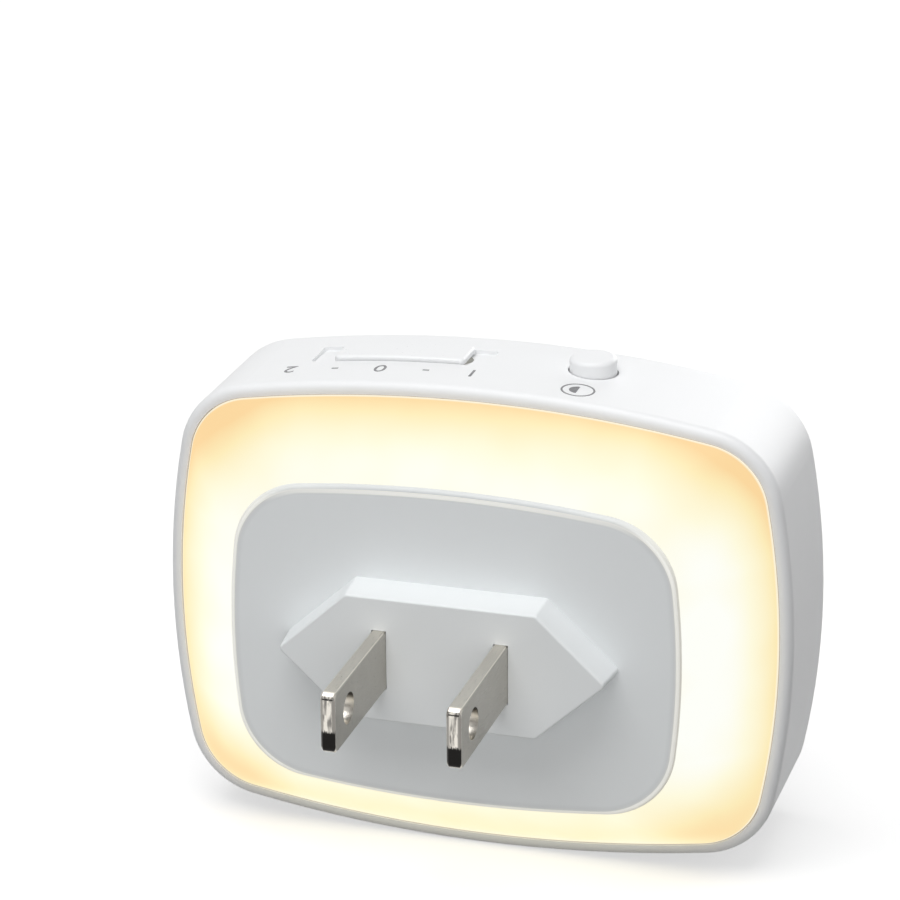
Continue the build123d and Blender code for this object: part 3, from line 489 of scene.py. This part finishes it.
class NIGHTLIGHT_OT_ring(bpy.types.Operator):
    """Lights the translucent ring: warm and dim at its outer edge and corners, near white by the panel"""
    bl_idname = "nightlight.ring"
    bl_label = "Glowing ring"

    def execute(self, context):
        colours = context.scene.night_light_colours
        finish = Finish("lit_ring", 0.45)
        x, y, z = finish.split()
        inward = finish.between(y, RING_EDGE, RING_HIGH.y)
        side = finish.between(finish.sum("ABSOLUTE", x), *RING_SIDE)
        high = finish.between(z, *RING_TALL)
        low = finish.between(z, *(-reach for reach in RING_TALL))
        left = finish.between(x, *RING_HALF)
        right = finish.between(x, *(-reach for reach in RING_HALF))
        hump = finish.weighted(0.0, (4.0, inward), (-4.0, inward, inward))
        drift = finish.noise(6 * MM, detail=1.0)
        level = finish.weighted(-0.12, (1.31, inward), (-0.56, inward, inward), (0.22, side), (0.68, low),
                                (-0.97, low, inward), (-0.71, side, low), (-0.51, side, high),
                                (-0.11, left, hump), (0.07, right, hump), (-0.36, low, hump),
                                (0.16, self.lamp_light(finish)), (0.22, drift))
        tint = finish.ramp(level, ((0.0, colours.glow_corner), (0.3, colours.glow_edge),
                                   (0.72, colours.glow_middle), (1.0, colours.glow_bright)))
        line = finish.between(y, RING_EDGE + 0.05 * MM, RING_EDGE + 0.2 * MM, 1.0, 0.0)
        # Painted shade: the strip deep in the gap beside the rim turns a dim brown.
        gap = finish.between(y, RING_EDGE - 0.14 * MM, RING_EDGE - 0.02 * MM, 1.0, 0.0)
        tint = finish.blend(gap, finish.blend(line, tint, colours.glow_line), colours.glow_painted_gap_shade)
        finish.set("Base Color", (0.03, 0.028, 0.02, 1.0))
        finish.set("Specular IOR Level", 0.15)
        finish.set("Emission Color", tint)
        finish.set("Emission Strength", 0.97)
        finish.give("diffuser_ring")
        return {"FINISHED"}

    def lamp_light(self, finish):
        """Soft round spots over the lamps."""
        quarter = finish.node("ShaderNodeVectorMath", {0: finish.place}, operation="ABSOLUTE")
        flat = finish.node("ShaderNodeVectorMath", {0: quarter.outputs[0], 1: (1, 0, 1)},
                           operation="MULTIPLY").outputs[0]
        light = 0.0
        for lamp_x, lamp_z in lamps_of_a_quarter():
            apart = finish.node("ShaderNodeVectorMath", {0: flat, 1: (lamp_x, 0, lamp_z)},
                                operation="DISTANCE").outputs["Value"]
            near = finish.sum("DIVIDE", apart, LAMP_SPREAD)
            fall = finish.sum("MULTIPLY", finish.sum("MULTIPLY", near, near), -1.0)
            light = finish.sum("ADD", light, finish.sum("POWER", EULER, fall))
        return light


class NIGHTLIGHT_OT_blades(bpy.types.Operator):
    """Plates the two blades with satin nickel, polished at the rounded tips, with painted highlights on top,
    a painted reflection on the tips and painted light and shade in the holes
    """
    bl_idname = "nightlight.blades"
    bl_label = "Plug blades"

    def execute(self, context):
        colours = context.scene.night_light_colours
        base = colours.nickel
        finish = Finish("blade_nickel", 0.3, metallic=1.0)
        _, y, z = finish.split()
        streaks = finish.noise(0.07 * MM, 3.0, (1, 0.05, 1))
        patches = finish.noise(3.2 * MM, 2.0)
        plate = finish.blend(patches, shaded(base, 0.88), shaded(base, 1.04))
        plate = finish.blend(finish.sum("MULTIPLY", streaks, 0.16), plate, shaded(base, 0.8))
        # Painted highlight along the top edge, and painted light on the top face.
        painted_edge_highlight = finish.near(z, BLADE_TOP, EDGE_HIGHLIGHT)
        plate = finish.blend(painted_edge_highlight, plate, shaded(base, 1.9))
        painted_top_light = finish.near(z, BLADE_TOP, TOP_LIGHT)
        plate = finish.blend(painted_top_light, plate, shaded(base, 1.32))
        plate = self.painted_hole_light_and_shade(finish, plate, colours)
        finish.set("Base Color", self.tip(finish, plate, colours))
        at_tip = finish.near(y, BLADE_HIGH.y, TIP_GLOSS)
        dull = finish.between(streaks, *NOISE_BAND, 0.26, 0.36)
        finish.set("Roughness", finish.node("ShaderNodeMix", {0: at_tip, 2: dull, 3: 0.14}).outputs[0])
        finish.relief(streaks, 0.002 * MM)
        finish.give("blade_left", "blade_right")
        return {"FINISHED"}

    def painted_hole_light_and_shade(self, finish, plate, colours):
        """Wall of the hole: painted shade above, painted light below."""
        _, y, z = finish.split()
        flat = finish.node("ShaderNodeCombineXYZ", {1: y, 2: z}).outputs[0]
        apart = finish.node("ShaderNodeVectorMath", {0: flat, 1: (0, BLADE_HOLE, 0)}, operation="DISTANCE")
        inside = finish.between(apart.outputs["Value"], HOLE_RADIUS + 0.03 * MM, HOLE_RADIUS + 0.01 * MM)
        wall = finish.blend(finish.between(z, -0.3 * MM, 0.9 * MM), shaded(colours.nickel, 1.5),
                            shaded(colours.painted_shade_and_reflection, 2.0))
        return finish.blend(inside, plate, wall)

    def tip(self, finish, plate, colours):
        """Polished tip with a painted reflection: dark low down, broken light above, dark at its sides."""
        x, y, z = finish.split()
        at_tip = finish.near(y, BLADE_HIGH.y, TIP_REFLECTION)
        beside = finish.sum("ABSOLUTE", finish.sum("SUBTRACT", finish.sum("ABSOLUTE", x), BLADE_MIDDLE))
        rim = finish.near(beside, BLADE_HALF, TIP_RIM_REFLECTION, 0.75)
        streaks = finish.between(finish.noise(0.25 * MM, 3.0, (1, 1, 0.16)), 0.46, 0.66, 0.0, 0.8)
        shade = finish.sum("MAXIMUM", streaks, rim)
        painted_reflection_light = finish.blend(shade, shaded(colours.nickel, 1.55), shaded(colours.painted_shade_and_reflection, 5.0))
        ragged = finish.weighted(-0.35 * MM, (-0.9 * MM, finish.noise(0.15 * MM, 2.0, (1, 1, 0.3))))
        above = finish.between(finish.sum("SUBTRACT", z, ragged), -0.12 * MM, 0.12 * MM)
        return finish.blend(at_tip, plate, finish.blend(above, colours.painted_shade_and_reflection, painted_reflection_light))


class NIGHTLIGHT_OT_lens(bpy.types.Operator):
    """Finishes the milky dome with its faint cells"""
    bl_idname = "nightlight.lens"
    bl_label = "Sensor dome"

    def execute(self, context):
        base = context.scene.night_light_colours.lens
        finish = Finish("milky_lens", 0.22)
        cells = finish.node("ShaderNodeTexVoronoi", {"Vector": finish.stretched((1, 1, 1), LENS_CENTRE),
                                                     "Scale": 1 / (2.1 * MM), "Randomness": 0.35},
                            feature="DISTANCE_TO_EDGE").outputs[0]
        edges = finish.between(cells, 0.0, 0.12, 1.0, 0.0)
        cloud = finish.noise(2.4 * MM, 2.0)
        body = finish.blend(cloud, shaded(base, 0.9), shaded(base, 1.04))
        finish.set("Base Color", finish.blend(finish.sum("MULTIPLY", edges, 0.3), body, shaded(base, 0.74)))
        finish.set("Subsurface Weight", 0.35)
        finish.set("Subsurface Radius", (1.2 * MM, 1.2 * MM, 1.2 * MM))
        finish.set("Coat Weight", 0.35)
        finish.relief(edges, 0.01 * MM)
        finish.give("pir_lens")
        return {"FINISHED"}


class NIGHTLIGHT_OT_marks(bpy.types.Operator):
    """Prints plain position numbers by the knob and a round mark by the button"""
    bl_idname = "nightlight.marks"
    bl_label = "Printed marks"

    def execute(self, context):
        marks = context.scene.night_light_marks
        finish = Finish("printed_ink", 0.5)
        speckle = finish.noise(0.09 * MM, 3.0)
        ink = context.scene.night_light_colours.ink
        finish.set("Base Color", finish.blend(speckle, shaded(ink, 0.8), shaded(ink, 1.35)))
        numbers = bmesh.new()
        half_row = marks.pitch * (len(marks.positions) - 1) / 2
        first = KNOB_CENTRE + Vector((marks.shift - half_row, marks.inset, 0))
        for place, text in enumerate(marks.positions):
            letter(numbers, text, marks.height, (first.x + place * marks.pitch, first.y, 0))
        laid_on_top(numbers, marks.film)
        piece("position_numbers", numbers, finish.material, "casing")
        round_mark = bmesh.new()
        self.draw_round_mark(round_mark, marks)
        laid_on_top(round_mark, marks.film)
        piece("button_mark", round_mark, finish.material, "casing")
        return {"FINISHED"}

    def draw_round_mark(self, bm, marks):
        """A plain ring with one half filled."""
        centre = BUTTON_CENTRE + Vector((0, marks.ring_inset, -BUTTON_CENTRE.z))
        place = Matrix.Translation(centre)
        outer = bmesh.ops.create_circle(bm, segments=CIRCLE_SEGMENTS, radius=marks.ring_radius,
                                        matrix=place)["verts"]
        inner = bmesh.ops.create_circle(bm, segments=CIRCLE_SEGMENTS,
                                        radius=marks.ring_radius - marks.ring_line,
                                        matrix=place)["verts"]
        edges = {e for v in outer + inner for e in v.link_edges}
        bmesh.ops.bridge_loops(bm, edges=list(edges))
        blob = bmesh.ops.create_circle(bm, segments=BLOB_SEGMENTS, radius=marks.ring_radius * BLOB_SHARE,
                                       cap_ends=True, matrix=place)["verts"]
        sides = list({e for v in blob for e in v.link_edges})
        faces = list({f for v in blob for f in v.link_faces})
        bmesh.ops.bisect_plane(bm, geom=blob + sides + faces,
                               plane_co=centre, plane_no=(-1, 0, 0), clear_outer=True)


class NIGHTLIGHT_OT_inside(bpy.types.Operator):
    """Finishes the boards, their parts, the wires and the screws inside the closed shell"""
    bl_idname = "nightlight.inside"
    bl_label = "Boards and parts"

    def execute(self, context):
        self.boards()
        self.parts()
        self.metal()
        return {"FINISHED"}

    def boards(self):
        """Solder mask over a faint pattern of tracks."""
        for name, base, node in (("green_mask", tone(24, 92, 52), "control_board"),
                                 ("white_mask", tone(236, 236, 230), "led_board")):
            finish = Finish(name, 0.3)
            tracks = finish.node("ShaderNodeTexVoronoi", {"Vector": finish.place, "Scale": 1 / (3 * MM)},
                                 distance="CHEBYCHEV", feature="DISTANCE_TO_EDGE").outputs[0]
            lines = finish.between(tracks, 0.05, 0.09, 1.0, 0.0)
            finish.set("Base Color", finish.blend(lines, base, shaded(base, 1.35)))
            finish.relief(lines, 0.02 * MM)
            finish.give(node)

    def parts(self):
        """Plastic and lacquered bodies of the parts on the boards."""
        black = tone(34, 34, 36)
        moulded("black_moulding", black, 0.5).give("light_shroud", "mode_switch_slider", "tact_switch",
                                                   "tact_plunger", "board_link", "bridge_rectifier",
                                                   "control_chip")
        moulded("sleeve_black", tone(40, 44, 58), 0.25).give("smoothing_capacitor")
        moulded("film_box", tone(196, 158, 44), 0.35).give("film_capacitor")
        moulded("ceramic", tone(120, 104, 88), 0.5, 0.1 * MM).give("surface_parts")
        moulded("red_insulation", tone(176, 30, 28), 0.4).give("live_wire")
        moulded("black_insulation", tone(38, 38, 40), 0.4).give("neutral_wire")
        moulded("clear_resin", tone(206, 212, 216), 0.1).give("light_sensor")
        moulded("phosphor", tone(246, 214, 96), 0.3).give("leds")
        self.banded("fuse_lacquer", tone(96, 148, 96), ((0.25, tone(140, 60, 30)), (0.42, tone(30, 30, 30))),
                    "fuse_resistor")
        self.banded("bleed_lacquer", tone(120, 168, 190),
                    ((0.25, tone(190, 110, 30)), (0.42, tone(160, 40, 40))), "bleed_resistor")

    def banded(self, name, base, bands, node):
        """Resistor lacquer with colour bands across its length."""
        low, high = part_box(node)
        finish = Finish(name, 0.35)
        along = finish.between(finish.split()[0], low.x, high.x)
        shade = finish.blend(finish.noise(1.2 * MM), shaded(base, 0.94), shaded(base, 1.06))
        for place, band in bands:
            inside = finish.sum("COMPARE", along, place, 0.03)
            shade = finish.blend(inside, shade, band)
        finish.set("Base Color", shade)
        finish.give(node)

    def metal(self):
        """Tinned and zinc-plated metal."""
        for name, base, roughness, nodes in (
                ("zinc_plate", tone(206, 208, 212), 0.32,
                 ("holder_screws", "board_screws", "led_board_screws")),
                ("drawn_can", tone(214, 214, 214), 0.26, ("pir_sensor", "mode_switch"))):
            finish = Finish(name, roughness, metallic=1.0)
            wear = finish.noise(0.4 * MM, 4.0)
            finish.set("Base Color", finish.blend(wear, shaded(base, 0.88), shaded(base, 1.04)))
            finish.set("Roughness", finish.between(wear, *NOISE_BAND, roughness - 0.06, roughness + 0.1))
            finish.give(*nodes)


FLOOR_HALF = 3.0
FLOOR_RISE = (0.1, 0.6)  # distances from the middle between which the floor grows brighter
SOFTBOXES = (("key", 0.5, (0.03, 0.14, 0.56)),  # overhead
             ("front", 0.6, (-0.15, 0.8, 0.16)),  # by the camera
             ("back", 0.6, (-0.2, -0.8, 0.09)))  # on the dome's side
METAL_CARD_SIZE = (0.44, 0.44)
METAL_CARD_PLACE = (0.10, 0.62, -0.02)
SIDE_CARD_SIZE = (0.12, 0.034)
SIDE_CARD_PLACE = (-0.066, 0.0, CAD_BOX[0].z + SIDE_CARD_SIZE[1] / 2)
CARD_BLACK = tone(24, 24, 26)
CARD_ROUGHNESS = 0.5
SENSOR_WIDTH = 36.0
CLIP_NEAR, CLIP_FAR = 0.01, 20.0


class NIGHTLIGHT_OT_stage(bpy.types.Operator):
    """Sets the floor, lamps, room and camera"""
    bl_idname = "nightlight.stage"
    bl_label = "Studio"

    def execute(self, context):
        stage = context.scene.night_light_stage
        context.scene.view_settings.view_transform = "Standard"
        self.floor(stage)
        self.room(context, stage)
        self.lamps(stage)
        self.cards()
        self.camera(context, stage)
        return {"FINISHED"}

    def floor(self, stage):
        """Pale floor that keeps the soft shadow and shows white to the camera."""
        bm = bmesh.new()
        bmesh.ops.create_grid(bm, size=FLOOR_HALF, matrix=Matrix.Translation((0, 0, CAD_BOX[0].z)))
        white = Finish("white_floor")
        seen = white.seen_by("Is Camera Ray", "Is Glossy Ray")
        apart = white.node("ShaderNodeVectorMath", {0: white.place}, operation="LENGTH").outputs["Value"]
        lift = white.between(apart, *FLOOR_RISE, stage.floor_lift, stage.floor_lift + stage.floor_far)
        share = white.between(seen, 0.0, 1.0, stage.floor_grey, stage.floor_seen)
        plain = white.node("ShaderNodeBsdfDiffuse", {0: share})
        glow = white.node("ShaderNodeEmission", {1: white.sum("MULTIPLY", seen, lift)})
        both = white.node("ShaderNodeAddShader", {0: plain.outputs[0], 1: glow.outputs[0]})
        white.tree.links.new(both.outputs[0], white.tree.nodes["Material Output"].inputs[0])
        white.tree.nodes.remove(white.shader)
        floor = meshed("floor", bm, white.material)

    def room(self, context, stage):
        """Even light from all round, which the camera and polished metal see as white."""
        world = bpy.data.worlds.new("room")
        world.use_nodes = True
        context.scene.world = world
        room = Tree(world.node_tree)
        seen = room.seen_by("Is Camera Ray", "Is Glossy Ray", "Is Transmission Ray")
        background = room.tree.nodes["Background"].inputs
        room.feed(background["Color"], (1, 1, 1, 1))
        room.feed(background["Strength"], room.between(seen, 0.0, 1.0, stage.fill, 1.0))

    def lamps(self, stage):
        """Square softboxes that face the middle of the plug."""
        powers = {"key": stage.key_power, "front": stage.front_power, "back": stage.back_power}
        for name, size, place in SOFTBOXES:
            light = bpy.data.lights.new(name, "AREA")
            light.energy = powers[name]
            light.size = size
            lamp = in_scene(name, light)
            lamp.location = place
            lamp.rotation_mode = "QUATERNION"
            lamp.rotation_quaternion = (-Vector(place)).to_track_quat("-Z", "Y")

    def cards(self):
        """A dark card that polished metal sees, and one that shades the foot of the right-hand side."""
        metal = self.card("metal_card", METAL_CARD_SIZE, METAL_CARD_PLACE)
        metal.visible_diffuse = False
        side = self.card("side_card", SIDE_CARD_SIZE, SIDE_CARD_PLACE)
        side.visible_glossy = False

    def card(self, name, size, place):
        """Black card that faces the object and that neither the camera nor the lamps see."""
        bm = bmesh.new()
        bmesh.ops.create_grid(bm, size=0.5)
        place = Vector(place)
        turn = (-Vector((place.x, place.y, 0))).to_track_quat("Z", "Y").to_matrix().to_4x4()
        scale = Matrix.Diagonal((*size, 1, 1))
        bmesh.ops.transform(bm, matrix=Matrix.Translation(place) @ turn @ scale, verts=bm.verts)
        black = Finish(name, CARD_ROUGHNESS)
        black.set("Base Color", opaque(CARD_BLACK))
        made = meshed(name, bm, black.material)
        made.visible_camera = False
        made.visible_shadow = False
        return made

    def camera(self, context, stage):
        """Camera that puts the plug face's middle at its pixel."""
        a, e, r = stage.azimuth, stage.elevation, stage.roll
        back = Vector((sin(a) * cos(e), -cos(a) * cos(e), sin(e)))
        level = Vector((0, 0, 1)).cross(back).normalized()
        upright = back.cross(level)
        right = cos(r) * level + sin(r) * upright
        up = cos(r) * upright - sin(r) * level
        middle = stage.image_size / 2
        per_pixel = stage.distance * SENSOR_WIDTH / (stage.lens * stage.image_size)
        offset = right * (stage.origin_u - middle) * per_pixel + up * (middle - stage.origin_v) * per_pixel
        place = back * stage.distance - offset
        data = bpy.data.cameras.new("camera")
        data.sensor_width = SENSOR_WIDTH
        data.lens = stage.lens
        data.clip_start = CLIP_NEAR
        data.clip_end = CLIP_FAR
        camera = in_scene("camera", data)
        axes = Matrix((right, up, back)).transposed().to_4x4()
        camera.matrix_world = Matrix.Translation(place) @ axes
        context.scene.camera = camera


class NIGHTLIGHT_PT_panel(bpy.types.Panel):
    """Lists the pieces of the night light"""
    bl_idname = "NIGHTLIGHT_PT_panel"
    bl_label = "Plug-in night light"
    bl_space_type = "VIEW_3D"
    bl_region_type = "UI"
    bl_category = "Night light"

    def draw(self, context):
        for operator in OPERATORS:
            self.layout.operator(operator.bl_idname)
        for group in (context.scene.night_light_colours, context.scene.night_light_marks,
                      context.scene.night_light_stage):
            column = self.layout.column()
            for name in group.bl_rna.properties.keys()[2:]:  # the first two are Blender's own
                column.prop(group, name)


OPERATORS = (NIGHTLIGHT_OT_shell, NIGHTLIGHT_OT_panel, NIGHTLIGHT_OT_ring, NIGHTLIGHT_OT_blades,
             NIGHTLIGHT_OT_lens, NIGHTLIGHT_OT_marks, NIGHTLIGHT_OT_inside, NIGHTLIGHT_OT_stage)
GROUPS = {"night_light_colours": NightLightColours, "night_light_marks": NightLightMarks,
          "night_light_stage": NightLightStage}


def register():
    for name, group in GROUPS.items():
        bpy.utils.register_class(group)
        setattr(bpy.types.Scene, name, PointerProperty(type=group))
    for each in (*OPERATORS, NIGHTLIGHT_PT_panel):
        bpy.utils.register_class(each)


def unregister():
    for each in reversed((*OPERATORS, NIGHTLIGHT_PT_panel)):
        bpy.utils.unregister_class(each)
    for name, group in GROUPS.items():
        delattr(bpy.types.Scene, name)
        bpy.utils.unregister_class(group)


def main():
    register()
    for operator in OPERATORS:
        getattr(bpy.ops.nightlight, operator.bl_idname.split(".")[1])()


if __name__ == "__main__":
    main()
